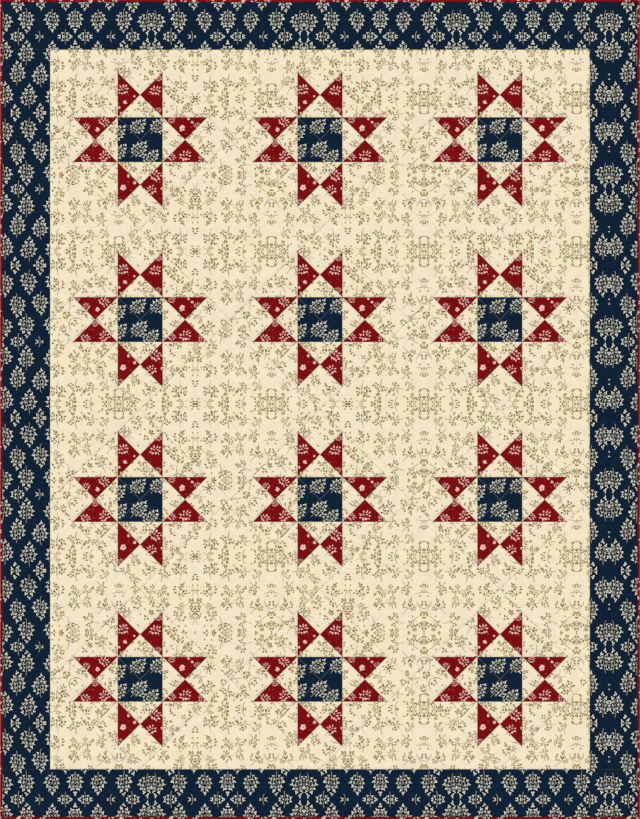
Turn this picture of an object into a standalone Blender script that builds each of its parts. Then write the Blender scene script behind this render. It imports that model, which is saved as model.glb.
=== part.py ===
"""A pieced star quilt that lies flat: star blocks set on point, setting pieces, border and binding.

The quilt rests on the plane z = 0 with its middle at the origin. X runs across it and Y up its length.
Every piece is one closed solid of the quilt's full thickness, with a flat underside and a top that swells
from its seams to a soft crest. Pieces are a small gap apart along the seams that join them.
"""

import math

import bmesh
import bpy

# Piecing, in metres
PATCH = 0.0762
PATCHES_A_SIDE = 4
BLOCK = PATCH * PATCHES_A_SIDE
PITCH = BLOCK * math.sqrt(2.0)
COLUMNS = 3
ROWS = 4
BORDER_WIDTH = 0.1143
BINDING_WIDTH = 0.00635
GAP = 0.0003

# Thickness at the seams and at the crest, and how a top swells between them
SEAM_THICKNESS = 0.0024
CREST_THICKNESS = 0.0036
SWELL_REACH = 0.015
SWELL_SHARES = (0.0, 0.15, 0.45, 1.0)

# The rolled binding
BINDING_CREST = 0.0034
BINDING_FOOT = 0.0009
BINDING_ROLL_STEPS = 4

# Sizes of the whole
FIELD_WIDTH = COLUMNS * PITCH
FIELD_HEIGHT = ROWS * PITCH
INNER_WIDTH = FIELD_WIDTH + 2.0 * BORDER_WIDTH
INNER_HEIGHT = FIELD_HEIGHT + 2.0 * BORDER_WIDTH

# A direction halfway between two axes
SLANT = math.sqrt(0.5)

# Plain cloth colours: a star block has several, so it takes the mix that the eye sees from afar
CREAM = (0.86, 0.78, 0.60, 1.0)
RED = (0.26, 0.012, 0.016, 1.0)
NAVY = (0.012, 0.030, 0.060, 1.0)
STAR_MIX = (0.52, 0.36, 0.30, 1.0)
CLOTH_ROUGHNESS = 0.9

# Points closer than this are one point
SAME_POINT = 0.00001


def clear_scene():
    """Remove every object, so that the scene holds only the quilt."""
    for item in list(bpy.data.objects):
        bpy.data.objects.remove(item, do_unlink=True)


def cloth(name, colour):
    """Return a new cloth material of one colour."""
    made = bpy.data.materials.new(name)
    made.use_nodes = True
    shader = made.node_tree.nodes["Principled BSDF"]
    shader.inputs["Base Color"].default_value = colour
    shader.inputs["Roughness"].default_value = CLOTH_ROUGHNESS
    made.diffuse_color = colour
    return made


def add_solid(name, points, faces, colour):
    """Make one object from points and faces, facing outwards, with its own material."""
    mesh = bpy.data.meshes.new(name)
    mesh.from_pydata(points, [], faces)
    mesh.materials.append(cloth(name + "_cloth", colour))
    shape = bmesh.new()
    shape.from_mesh(mesh)
    bmesh.ops.recalc_face_normals(shape, faces=shape.faces[:])
    shape.to_mesh(mesh)
    shape.free()
    made = bpy.data.objects.new(name, mesh)
    bpy.context.collection.objects.link(made)
    return made


def swell(distance):
    """Return the thickness at a distance in from a seam: steep at the seam, level at the crest."""
    share = min(distance / SWELL_REACH, 1.0)
    return SEAM_THICKNESS + (CREST_THICKNESS - SEAM_THICKNESS) * (1.0 - (1.0 - share) ** 3)


def inset(outline, distance):
    """Move each side of an anticlockwise convex outline inwards by a distance."""
    count = len(outline)
    normals = []
    for index in range(count):
        x0, y0 = outline[index]
        x1, y1 = outline[(index + 1) % count]
        length = math.hypot(x1 - x0, y1 - y0)
        normals.append(((y0 - y1) / length, (x1 - x0) / length))
    moved = []
    for index in range(count):
        before = normals[index - 1]
        after = normals[index]
        spread = 1.0 + before[0] * after[0] + before[1] * after[1]
        x = outline[index][0] + distance * (before[0] + after[0]) / spread
        y = outline[index][1] + distance * (before[1] + after[1]) / spread
        moved.append((x, y))
    return moved


class PaddedTop:
    """The points and faces of a piece's top, one swollen patch after another, sharing their seam points."""

    def __init__(self):
        """Start with no patches."""
        self.points = []
        self.faces = []
        self.seam_points = {}
        self.seam_edges = set()

    def seam_point(self, x, y):
        """Return the index of the seam point at a place, making it the first time."""
        key = (round(x / SAME_POINT), round(y / SAME_POINT))
        if key not in self.seam_points:
            self.seam_points[key] = len(self.points)
            self.points.append((x, y, SEAM_THICKNESS))
        return self.seam_points[key]

    def add_patch(self, outline):
        """Add one patch: its seams, the bands that swell inwards from them, and its level crest."""
        count = len(outline)
        ring = [self.seam_point(x, y) for x, y in outline]
        for index in range(count):
            self.seam_edges.add((ring[index], ring[(index + 1) % count]))
        for share in SWELL_SHARES[1:]:
            distance = share * SWELL_REACH
            height = swell(distance)
            first = len(self.points)
            self.points += [(x, y, height) for x, y in inset(outline, distance)]
            inner = list(range(first, first + count))
            for index in range(count):
                after = (index + 1) % count
                self.faces.append((ring[index], ring[after], inner[after], inner[index]))
            ring = inner
        self.faces.append(tuple(ring))

    def rim_loop(self):
        """Return the outer seam points in order: their edges belong to one patch only."""
        following = {}
        for start, end in self.seam_edges:
            if (end, start) not in self.seam_edges:
                following[start] = end
        loop = [min(following)]
        while following[loop[-1]] != loop[0]:
            loop.append(following[loop[-1]])
        return loop

    def turns(self, before, here, after):
        """Say whether the rim changes direction at a point."""
        x0, y0, _ = self.points[before]
        x1, y1, _ = self.points[here]
        x2, y2, _ = self.points[after]
        cross = (x1 - x0) * (y2 - y1) - (y1 - y0) * (x2 - x1)
        return abs(cross) > SAME_POINT * math.hypot(x2 - x0, y2 - y0)

    def closed(self):
        """Add an upright wall under each straight side and a flat underside at z = 0."""
        loop = self.rim_loop()
        count = len(loop)
        corners = []
        for place in range(count):
            if self.turns(loop[place - 1], loop[place], loop[(place + 1) % count]):
                corners.append(place)
        under = {}
        for place in corners:
            x, y, _ = self.points[loop[place]]
            under[place] = len(self.points)
            self.points.append((x, y, 0.0))
        for order, place in enumerate(corners):
            end = corners[(order + 1) % len(corners)]
            steps = (end - place) % count
            side = [loop[(place + step) % count] for step in range(steps + 1)]
            self.faces.append(tuple(side + [under[end], under[place]]))
        self.faces.append(tuple(under[place] for place in reversed(corners)))
        return self.points, self.faces


def padded_piece(name, patches, colour):
    """Build one solid whose top is made of the given patches."""
    top = PaddedTop()
    for outline in patches:
        top.add_patch(outline)
    points, faces = top.closed()
    return add_solid(name, points, faces, colour)


def on_point(places, centre):
    """Turn places along a block's own two sides, from its middle, into places on the quilt."""
    return [(centre[0] + (a - b) * SLANT, centre[1] + (a + b) * SLANT) for a, b in places]


def star_patches():
    """Return the star block's patches as outlines in its own frame.

    The block is a grid of squares. Its corner squares are whole. Each of the others is two half-square
    triangles: the four round the middle are cut so that they make a square on its point, and the eight
    at the sides are cut so that they make the star's points.
    """
    middle = PATCHES_A_SIDE // 2
    last = PATCHES_A_SIDE - 1
    size = (BLOCK - GAP) / PATCHES_A_SIDE
    patches = []
    for row in range(PATCHES_A_SIDE):
        for column in range(PATCHES_A_SIDE):
            a, b = (column - middle) * size, (row - middle) * size
            square = [(a, b), (a + size, b), (a + size, b + size), (a, b + size)]
            inner = 0 < column < last and 0 < row < last
            corner = column in (0, last) and row in (0, last)
            same_side = (column >= middle) == (row >= middle)
            if corner:
                patches.append(square)
            elif same_side != inner:
                patches.append([square[0], square[1], square[2]])
                patches.append([square[0], square[2], square[3]])
            else:
                patches.append([square[0], square[1], square[3]])
                patches.append([square[1], square[2], square[3]])
    return patches


def grid_centres(columns, rows):
    """Return the places of a grid of pieces a pitch apart, centred on the origin, with row and column."""
    centres = []
    for row in range(rows):
        for column in range(columns):
            x = (column - (columns - 1) / 2.0) * PITCH
            y = (row - (rows - 1) / 2.0) * PITCH
            centres.append((row + 1, column + 1, (x, y)))
    return centres


def build_squares():
    """Build the star blocks and the plain setting squares between them."""
    patches = star_patches()
    for row, column, centre in grid_centres(COLUMNS, ROWS):
        outlines = [on_point(patch, centre) for patch in patches]
        padded_piece(f"star_block_{row}_{column}", outlines, STAR_MIX)
    half = BLOCK / 2.0
    square = [(-half, -half), (half, -half), (half, half), (-half, half)]
    for row, column, centre in grid_centres(COLUMNS - 1, ROWS - 1):
        outline = inset(on_point(square, centre), GAP / 2.0)
        padded_piece(f"setting_square_{row}_{column}", [outline], CREAM)


def build_setting_triangles():
    """Build the side triangles along the border and the corner triangles."""
    half = PITCH / 2.0
    edge_x = FIELD_WIDTH / 2.0
    edge_y = FIELD_HEIGHT / 2.0
    outlines = {}
    for column in range(COLUMNS - 1):
        x = (column - (COLUMNS - 2) / 2.0) * PITCH
        outlines[f"side_triangle_top_{column + 1}"] = [
            (x, edge_y - half), (x + half, edge_y), (x - half, edge_y)
        ]
        outlines[f"side_triangle_bottom_{column + 1}"] = [
            (x, half - edge_y), (x - half, -edge_y), (x + half, -edge_y)
        ]
    for row in range(ROWS - 1):
        y = (row - (ROWS - 2) / 2.0) * PITCH
        outlines[f"side_triangle_left_{row + 1}"] = [
            (half - edge_x, y), (-edge_x, y + half), (-edge_x, y - half)
        ]
        outlines[f"side_triangle_right_{row + 1}"] = [
            (edge_x - half, y), (edge_x, y - half), (edge_x, y + half)
        ]
    outlines["corner_triangle_bottom_left"] = [
        (-edge_x, -edge_y), (half - edge_x, -edge_y), (-edge_x, half - edge_y)
    ]
    outlines["corner_triangle_bottom_right"] = [
        (edge_x, -edge_y), (edge_x, half - edge_y), (edge_x - half, -edge_y)
    ]
    outlines["corner_triangle_top_right"] = [
        (edge_x, edge_y), (edge_x - half, edge_y), (edge_x, edge_y - half)
    ]
    outlines["corner_triangle_top_left"] = [
        (-edge_x, edge_y), (-edge_x, edge_y - half), (half - edge_x, edge_y)
    ]
    for name, outline in outlines.items():
        padded_piece(name, [inset(outline, GAP / 2.0)], CREAM)


def build_borders():
    """Build the border: side strips of the field's height, then the top and bottom at full width."""
    edge_x = FIELD_WIDTH / 2.0
    edge_y = FIELD_HEIGHT / 2.0
    outer_x = INNER_WIDTH / 2.0
    outer_y = INNER_HEIGHT / 2.0
    spans = {
        "border_left": (-outer_x, -edge_x, -edge_y, edge_y),
        "border_right": (edge_x, outer_x, -edge_y, edge_y),
        "border_bottom": (-outer_x, outer_x, -outer_y, -edge_y),
        "border_top": (-outer_x, outer_x, edge_y, outer_y),
    }
    for name, (x_low, x_high, y_low, y_high) in spans.items():
        outline = [(x_low, y_low), (x_high, y_low), (x_high, y_high), (x_low, y_high)]
        padded_piece(name, [inset(outline, GAP / 2.0)], NAVY)


def binding_section():
    """Return the binding's section as pairs of outward reach and height, round from its inner foot."""
    inner = GAP / 2.0
    half_reach = (BINDING_WIDTH - inner) / 2.0
    section = [(inner, 0.0), (BINDING_WIDTH - BINDING_FOOT, 0.0), (BINDING_WIDTH, BINDING_FOOT)]
    for step in range(1, BINDING_ROLL_STEPS + 1):
        turn = 0.5 * math.pi * step / BINDING_ROLL_STEPS
        reach = BINDING_WIDTH - half_reach * (1.0 - math.cos(turn))
        height = BINDING_FOOT + (BINDING_CREST - BINDING_FOOT) * math.sin(turn)
        section.append((reach, height))
    section.append((inner, SEAM_THICKNESS))
    return section


def binding_strip(name, start, end, outward):
    """Build one side of the binding between two corners of the border, with mitred ends."""
    length = math.hypot(end[0] - start[0], end[1] - start[1])
    along = ((end[0] - start[0]) / length, (end[1] - start[1]) / length)
    mitre_gap = GAP * SLANT
    points = []
    for place, sign in ((start, -1.0), (end, 1.0)):
        for reach, height in binding_section():
            slide = sign * (reach - mitre_gap)
            x = place[0] + outward[0] * reach + along[0] * slide
            y = place[1] + outward[1] * reach + along[1] * slide
            points.append((x, y, height))
    count = len(points) // 2
    faces = [tuple(range(count)), tuple(range(2 * count - 1, count - 1, -1))]
    for index in range(count):
        after = (index + 1) % count
        faces.append((index, after, count + after, count + index))
    return add_solid(name, points, faces, RED)


def build_binding():
    """Build the four binding strips round the border."""
    x = INNER_WIDTH / 2.0
    y = INNER_HEIGHT / 2.0
    binding_strip("binding_bottom", (-x, -y), (x, -y), (0.0, -1.0))
    binding_strip("binding_right", (x, -y), (x, y), (1.0, 0.0))
    binding_strip("binding_top", (x, y), (-x, y), (0.0, 1.0))
    binding_strip("binding_left", (-x, y), (-x, -y), (-1.0, 0.0))


def main():
    """Build the whole quilt."""
    clear_scene()
    build_squares()
    build_setting_triangles()
    build_borders()
    build_binding()


main()
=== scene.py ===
"""The looks of a pieced star quilt that lies flat and is seen from straight above.

Each sewn unit of the quilt is a closed padded sheet with its own printed cottons. The prints, the weave and
the shading of the seams are node materials that read each patch's own cloth map.
"""

import logging
import math
from collections.abc import Sequence
from dataclasses import asdict, dataclass, field, fields
from enum import Enum
from functools import partial, reduce
from itertools import accumulate

import bpy
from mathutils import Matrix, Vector, noise


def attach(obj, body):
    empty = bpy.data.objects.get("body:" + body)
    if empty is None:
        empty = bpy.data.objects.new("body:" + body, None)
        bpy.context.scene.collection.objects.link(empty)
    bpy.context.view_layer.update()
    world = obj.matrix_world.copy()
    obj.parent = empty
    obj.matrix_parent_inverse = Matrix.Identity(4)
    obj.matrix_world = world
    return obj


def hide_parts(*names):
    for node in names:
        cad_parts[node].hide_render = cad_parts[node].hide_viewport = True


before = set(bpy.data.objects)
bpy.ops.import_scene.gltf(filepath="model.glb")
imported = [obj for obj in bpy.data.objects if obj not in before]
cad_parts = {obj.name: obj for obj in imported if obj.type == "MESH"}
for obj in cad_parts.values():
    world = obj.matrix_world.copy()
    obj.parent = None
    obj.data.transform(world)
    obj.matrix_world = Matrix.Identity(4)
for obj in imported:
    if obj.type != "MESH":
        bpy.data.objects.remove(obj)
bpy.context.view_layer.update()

LOG = logging.getLogger("quilt")

Place = tuple[float, float]
Outline = tuple[Place, ...]
Colour = tuple[float, float, float, float]
Socket = bpy.types.NodeSocket
Feeds = dict[str | int, object]

SLANT = math.sqrt(0.5)
CLOTH_MAP = "ClothMap"
SEAM_ATTRIBUTE = "from_seam"
CLOTH_ATTRIBUTE = "cut_from"
MILLIMETRES = 1000.0
SAME_POINT = 0.00001
ROOT_BODY = "root"


def tone(red: float, green: float, blue: float) -> Colour:
    """Turn a display colour, each part from 0 to 255, into a linear one with full opacity."""
    shares = (red / 255.0, green / 255.0, blue / 255.0)
    return (*(s / 12.92 if s <= 0.04045 else ((s + 0.055) / 1.055) ** 2.4 for s in shares), 1.0)


def sides(corners: Sequence) -> list[tuple]:
    """Pair each corner of a closed outline, or each point of a ring, with the next one."""
    return list(zip(corners, (*corners[1:], corners[0])))


def charted(kind: type, table: list[tuple[float, ...]]) -> tuple:
    """Make one of a kind from each row of a table."""
    return tuple(kind(*row) for row in table)


def outline_area(outline: Outline) -> float:
    """Measure the area inside an anticlockwise outline."""
    return sum(x0 * y1 - x1 * y0 for (x0, y0), (x1, y1) in sides(outline)) / 2.0


def inset(outline: Outline, distance: float) -> Outline:
    """Move each side of an anticlockwise convex outline inwards.

    Args:
        outline: The corners.
        distance: How far each side moves.

    Returns:
        The moved corners.
    """
    normals = []
    for (x0, y0), (x1, y1) in sides(outline):
        length = math.hypot(x1 - x0, y1 - y0)
        normals.append(((y0 - y1) / length, (x1 - x0) / length))
    moved = []
    for index, (x, y) in enumerate(outline):
        before, after = normals[index - 1], normals[index]
        spread = 1.0 + before[0] * after[0] + before[1] * after[1]
        across = distance * (before[0] + after[0]) / spread
        moved.append((x + across, y + distance * (before[1] + after[1]) / spread))
    return tuple(moved)


class Cloth(Enum):
    """The cottons of the quilt, each with its number on the faces that are cut from it."""

    CREAM = 0
    RED = 1
    NAVY = 2
    CENTRE = 3
    BACKING = 4
    POINTS = 5


@dataclass(frozen=True)
class QuiltPlan:
    """The sizes that the quilt is pieced to, in metres."""

    patch: float = 0.0762
    patches_a_side: int = 4
    columns: int = 3
    rows: int = 4
    border_width: float = 0.1143
    binding_width: float = 0.00635
    gap: float = 0.0003

    @property
    def block(self) -> float:
        """Return the side of a block."""
        return self.patch * self.patches_a_side

    @property
    def pitch(self) -> float:
        """Return the distance between the middles of neighbouring star blocks."""
        return self.block / SLANT

    @property
    def half_field(self) -> Place:
        """Return half of the field's width and height."""
        return self.columns * self.pitch / 2.0, self.rows * self.pitch / 2.0

    @property
    def half_inner(self) -> Place:
        """Return half of the width and height inside the binding."""
        half_x, half_y = self.half_field
        return half_x + self.border_width, half_y + self.border_width

    def off_middle(self, index: int, count: int) -> float:
        """Return how far from the middle one of several pieces lies, in a line a pitch apart."""
        return (index - (count - 1) / 2.0) * self.pitch

    def centres(self, columns: int, rows: int) -> list[tuple[int, int, Place]]:
        """List the row, the column and the place of each piece of a centred grid a pitch apart."""
        xs, ys = ([self.off_middle(index, count) for index in range(count)] for count in (columns, rows))
        return [(row, column, (x, y)) for row, y in enumerate(ys, 1) for column, x in enumerate(xs, 1)]


@dataclass(frozen=True)
class Relief:
    """How a padded top swells away from its seams, in metres."""

    seam: float = 0.0024
    crest: float = 0.0036
    reach: float = 0.015
    unevenness: float = 0.0003
    wave: float = 0.055
    pucker: float = 0.00022
    pucker_wave: float = 0.011


@dataclass(frozen=True)
class Stitch:
    """One stitch and how far it is to the next, in metres."""

    pitch: float = 0.004
    length: float = 0.0033
    width: float = 0.0006
    thickness: float = 0.0004


@dataclass(frozen=True)
class ClothPlacing:
    """How a patch was cut from its printed cloth: where the print's origin falls, and its turn."""

    origin: Place = (0.0, 0.0)
    turn: float = 0.0

    def on_cloth(self, x: float, y: float) -> Place:
        """Find the place on the cloth's print of a place on the quilt.

        Args:
            x: Across the quilt.
            y: Up the quilt.

        Returns:
            The place on the cloth.
        """
        dx, dy = x - self.origin[0], y - self.origin[1]
        cosine, sine = math.cos(self.turn), math.sin(self.turn)
        return dx * cosine + dy * sine, dy * cosine - dx * sine


@dataclass(frozen=True)
class Patch:
    """One patch of cloth: its outline, anticlockwise, its cotton, and how it was cut."""

    outline: Outline
    cloth: Cloth
    placing: ClothPlacing


class Graph:
    """Short ways to add nodes to one node tree and link them."""

    def __init__(self, tree: bpy.types.NodeTree) -> None:
        """Work on a tree."""
        self.tree = tree

    def put(self, kind: str, feeds: Feeds | None = None, **settings: object) -> bpy.types.Node:
        """Add a node.

        Args:
            kind: The node's type.
            feeds: What feeds its inputs, by their name or number.
            settings: Its properties.

        Returns:
            The new node.
        """
        node = self.tree.nodes.new(kind)
        for name, value in settings.items():
            setattr(node, name, value)
        self.fill(node, feeds or {})
        return node

    def fill(self, node: bpy.types.Node, feeds: Feeds) -> None:
        """Link some inputs of a node to other sockets, or set their own values.

        Args:
            node: The node.
            feeds: What feeds its inputs, by their name or number.
        """
        for key, value in feeds.items():
            socket = node.inputs[key]
            if isinstance(value, Socket):
                self.tree.links.new(value, socket)
            else:
                socket.default_value = value[:3] if socket.type == "VECTOR" else value

    def math(self, operation: str, *values: object) -> Socket:
        """Work out a value from others."""
        return self.put("ShaderNodeMath", dict(enumerate(values)), operation=operation).outputs[0]

    def total(self, *values: object) -> Socket:
        """Add several values up."""
        return reduce(partial(self.math, "ADD"), values)

    def times(self, *values: object) -> Socket:
        """Multiply several values."""
        return reduce(partial(self.math, "MULTIPLY"), values)

    def less(self, value: object, taken: object) -> Socket:
        """Take one value from another."""
        return self.math("SUBTRACT", value, taken)

    def vector(self, operation: str, *values: object) -> Socket:
        """Work out a vector from others."""
        made = self.put("ShaderNodeVectorMath", dict(enumerate(values)), operation=operation)
        return made.outputs["Vector"]

    def scaled(self, vector: object, scale: object) -> Socket:
        """Multiply a vector by a number."""
        feeds = {"Vector": vector, "Scale": scale}
        return self.put("ShaderNodeVectorMath", feeds, operation="SCALE").outputs["Vector"]

    def length(self, vector: object) -> Socket:
        """Measure a vector."""
        return self.put("ShaderNodeVectorMath", {0: vector}, operation="LENGTH").outputs["Value"]

    def parts(self, vector: object) -> tuple[Socket, ...]:
        """Split a vector into its three parts."""
        return tuple(self.put("ShaderNodeSeparateXYZ", {0: vector}).outputs)

    def joined(self, x: object, y: object, z: object = 0.0) -> Socket:
        """Join three parts to a vector."""
        return self.put("ShaderNodeCombineXYZ", {0: x, 1: y, 2: z}).outputs[0]

    def fade(self, value: object, start: object, end: object) -> Socket:
        """Step smoothly from 0 where the value is at the start to 1 where it is at the end."""
        feeds = {"Value": value, "From Min": start, "From Max": end}
        return self.put("ShaderNodeMapRange", feeds, interpolation_type="SMOOTHSTEP").outputs["Result"]

    def blend(self, share: object, first: object, second: object) -> Socket:
        """Mix two colours, by the second one's share."""
        feeds = {"Factor": share, 6: first, 7: second}
        return self.put("ShaderNodeMix", feeds, data_type="RGBA").outputs[2]

    def mottle(self, vector: object, scale: object, detail: float = 2.0) -> Socket:
        """Add a flat noise, with so many spots to a metre and so many finer layers."""
        feeds = {"Vector": vector, "Scale": scale, "Detail": detail}
        return self.put("ShaderNodeTexNoise", feeds, noise_dimensions="2D").outputs["Fac"]

    def placed(self, vector: object, middle: Place, turn: float, size: Place) -> Socket:
        """Bring a place into the frame of a shape.

        Args:
            vector: The place.
            middle: The shape's middle.
            turn: Its turn in degrees.
            size: Its half length and half width.

        Returns:
            The place from the shape's middle, in half lengths and half widths.
        """
        feeds = {"Vector": vector, "Location": (*middle, 0.0), "Scale": (*size, 1.0)}
        feeds["Rotation"] = (0.0, 0.0, math.radians(turn))
        return self.put("ShaderNodeMapping", feeds, vector_type="TEXTURE").outputs[0]


@dataclass(frozen=True)
class Petal:
    """One leaf or floret of a sprig, in millimetres from the sprig's middle, with its turn in degrees."""

    x: float
    y: float
    turn: float
    length: float
    width: float


@dataclass(frozen=True)
class Motif:
    """One charted motif of a print: its place in millimetres, its turn in degrees and its size."""

    x: float
    y: float
    turn: float = 0.0
    size: float = 1.0


@dataclass(frozen=True)
class Sprig:
    """A sprig's chart: its petals on one side, which repeat on its other side, its stem and its luck."""

    name: str
    petals: tuple[Petal, ...]
    lobes: float
    lobe_count: float
    bare: float
    reach: float
    height: float
    middle: float
    branch_step: float
    slope: float
    stem_width: float
    stem_low: float
    stem_high: float
    bend: float
    other_side_drop: float
    wobble: float
    wobble_size: float
    size_range: Place = (0.92, 1.08)
    heart: float = 0.72
    foot: float = 0.0


class SprigGroup(Graph):
    """The node group that draws a sprig from its chart, in the sprig's own millimetres."""

    FAR = 9.0
    PETAL_EDGE = (1.1, 0.86)
    HEART_EDGE = 0.3
    HEAD_EDGE = (1.15, 0.8)
    HEAD_POWER = 1.5
    BRANCHED_SHARE = 0.7
    STEM_TAPER = 2.0
    SIDE_LUCK = (0.37, 0.21)
    PETAL_LUCK = (5.0, 3.0)

    def __init__(self, chart: Sprig) -> None:
        """Build the group.

        Args:
            chart: The sprig's chart.
        """
        super().__init__(bpy.data.node_groups.new(chart.name, "ShaderNodeTree"))
        self.chart = chart
        for name in ("Place", "Dice", "Cloth"):
            self.tree.interface.new_socket(name, in_out="INPUT", socket_type="NodeSocketVector")
        for name in ("Petal", "Heart", "Stem", "Inside"):
            self.tree.interface.new_socket(name, in_out="OUTPUT", socket_type="NodeSocketFloat")
        given = self.put("NodeGroupInput").outputs
        _, self.luck_y, self.luck_z = self.parts(given["Dice"])
        x, self.up = self.drawn_place(given["Place"], given["Cloth"])
        self.out = self.math("ABSOLUTE", x)
        self.other_side = self.math("LESS_THAN", x, 0.0)
        self.level = self.total(self.up, self.times(self.other_side, chart.other_side_drop))
        size = reduce(partial(self.math, "MINIMUM"), self.petal_sizes(), self.FAR)
        self.put("NodeGroupOutput", {
            "Petal": self.fade(size, *self.PETAL_EDGE),
            "Heart": self.fade(size, chart.heart, chart.heart - self.HEART_EDGE),
            "Stem": self.stem(),
            "Inside": self.fade(self.head(), *self.HEAD_EDGE),
        })

    def drawn_place(self, place: object, cloth: object) -> tuple[Socket, Socket]:
        """Turn a place into the sprig's own millimetres, uneven, sized and bent by its luck.

        Args:
            place: The place from the sprig's middle, in metres.
            cloth: The place on the cloth.

        Returns:
            The place across and the place up the sprig.
        """
        feeds = {"Vector": cloth, "Scale": 1.0 / self.chart.wobble_size, "Detail": 1.0}
        uneven = self.put("ShaderNodeTexNoise", feeds, noise_dimensions="2D").outputs["Color"]
        moved = self.scaled(self.vector("SUBTRACT", uneven, (0.5, 0.5, 0.5)), self.chart.wobble)
        low, high = self.chart.size_range
        size = self.total(low, self.times(self.luck_z, high - low))
        here = self.vector("ADD", self.scaled(place, MILLIMETRES), moved)
        x, y, _ = self.parts(self.scaled(here, self.math("DIVIDE", 1.0, size)))
        lean = self.times(self.less(self.luck_y, 0.5), self.chart.bend)
        along = self.math("DIVIDE", y, self.chart.height)
        return self.total(x, self.times(lean, along, along)), y

    def petal_sizes(self) -> list[Socket]:
        """Measure the place against each petal.

        Returns:
            For each petal a value that is 1 on its outline, less inside it and large where it is left out.
        """
        here = self.joined(self.out, self.level)
        found = []
        for order, petal in enumerate(self.chart.petals):
            laid = self.placed(here, (petal.x, petal.y), petal.turn, (petal.length, petal.width))
            size = self.length(laid)
            if self.chart.lobes:
                u, v, _ = self.parts(laid)
                lobe = self.math("COSINE", self.times(self.math("ARCTAN2", v, u), self.chart.lobe_count))
                size = self.math("DIVIDE", size, self.total(1.0, self.times(lobe, self.chart.lobes)))
            if self.chart.bare and order:
                size = self.total(size, self.absence(order))
            found.append(size)
        return found

    def absence(self, order: int) -> Socket:
        """Leave a petal out where the sprig's luck says so.

        Args:
            order: The petal's number.

        Returns:
            A large value where the petal is left out, and otherwise 0.
        """
        side_luck, petal_luck = (first + step * order for first, step in (self.SIDE_LUCK, self.PETAL_LUCK))
        side = self.times(self.other_side, side_luck)
        mixed = self.total(self.times(self.luck_y, petal_luck), self.luck_z, side)
        return self.times(self.math("LESS_THAN", self.math("FRACT", mixed), self.chart.bare), self.FAR)

    def head(self) -> Socket:
        """Measure the place against the whole head.

        Returns:
            A value that is 1 on the head's outline and less inside it.
        """
        wide = self.math("DIVIDE", self.out, self.chart.reach)
        off = self.math("ABSOLUTE", self.less(self.up, self.chart.middle))
        tall = self.math("DIVIDE", off, self.chart.height)
        return self.total(*(self.math("POWER", part, self.HEAD_POWER) for part in (wide, tall)))

    def stem(self) -> Socket:
        """Draw the stem and the branches that rise from it.

        Returns:
            The mask of the stem and branches.
        """
        width = self.chart.stem_width
        rise = self.less(self.less(self.level, self.chart.foot), self.times(self.out, self.chart.slope))
        off = self.math("PINGPONG", rise, self.chart.branch_step / 2.0)
        in_head = self.math("LESS_THAN", self.head(), self.BRANCHED_SHARE)
        branch = self.times(self.fade(off, width, 0.5 * width), in_head)
        low = self.chart.stem_low
        foot = self.fade(self.up, low, low + self.STEM_TAPER)
        below = self.math("LESS_THAN", self.up, self.chart.stem_high)
        trunk = self.times(self.fade(self.out, width, 0.6 * width), foot, below)
        return self.math("MAXIMUM", branch, trunk)


class Finish(Graph):
    """A finish: a node material that is built when it is made."""

    name: str = "plain_finish"
    roughness: float = 0.9

    def __init__(self) -> None:
        """Start the material and dress its shader."""
        self.material = bpy.data.materials.new(self.name)
        self.material.use_nodes = True
        super().__init__(self.material.node_tree)
        self.fill(self.tree.nodes["Principled BSDF"], {"Roughness": self.roughness} | self.look())

    def look(self) -> Feeds:
        """Return what feeds the shader's other inputs: a plain finish has none."""
        return {}


class FloorPaper(Finish):
    """The pale paper of the studio's floor."""

    name = "floor_paper"
    spots: float = 3.0
    dark = tone(226, 226, 224)
    pale = tone(232, 232, 230)

    def look(self) -> Feeds:
        """Return its faintly uneven colour."""
        place = self.put("ShaderNodeTexCoord").outputs["Object"]
        return {"Base Color": self.blend(self.mottle(place, self.spots), self.dark, self.pale)}


class DitchThread(Finish):
    """The twisted cotton thread in the ditches, with a slight sheen."""

    name = "ditch_thread"
    roughness = 0.7
    colour = tone(182, 164, 140)
    twist_size: float = 2600.0
    darkest: float = 0.8
    twist_shade: float = 0.4
    sheen: float = 0.2

    def look(self) -> Feeds:
        """Draw the twist.

        Returns:
            Its colour, darker between the twists, and its sheen.
        """
        place = self.put("ShaderNodeTexCoord").outputs["Object"]
        twist = self.put("ShaderNodeTexNoise", {"Vector": place, "Scale": self.twist_size}).outputs["Fac"]
        light = self.total(self.darkest, self.times(twist, self.twist_shade))
        return {"Base Color": self.scaled(self.colour, light), "Sheen Weight": self.sheen}


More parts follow.
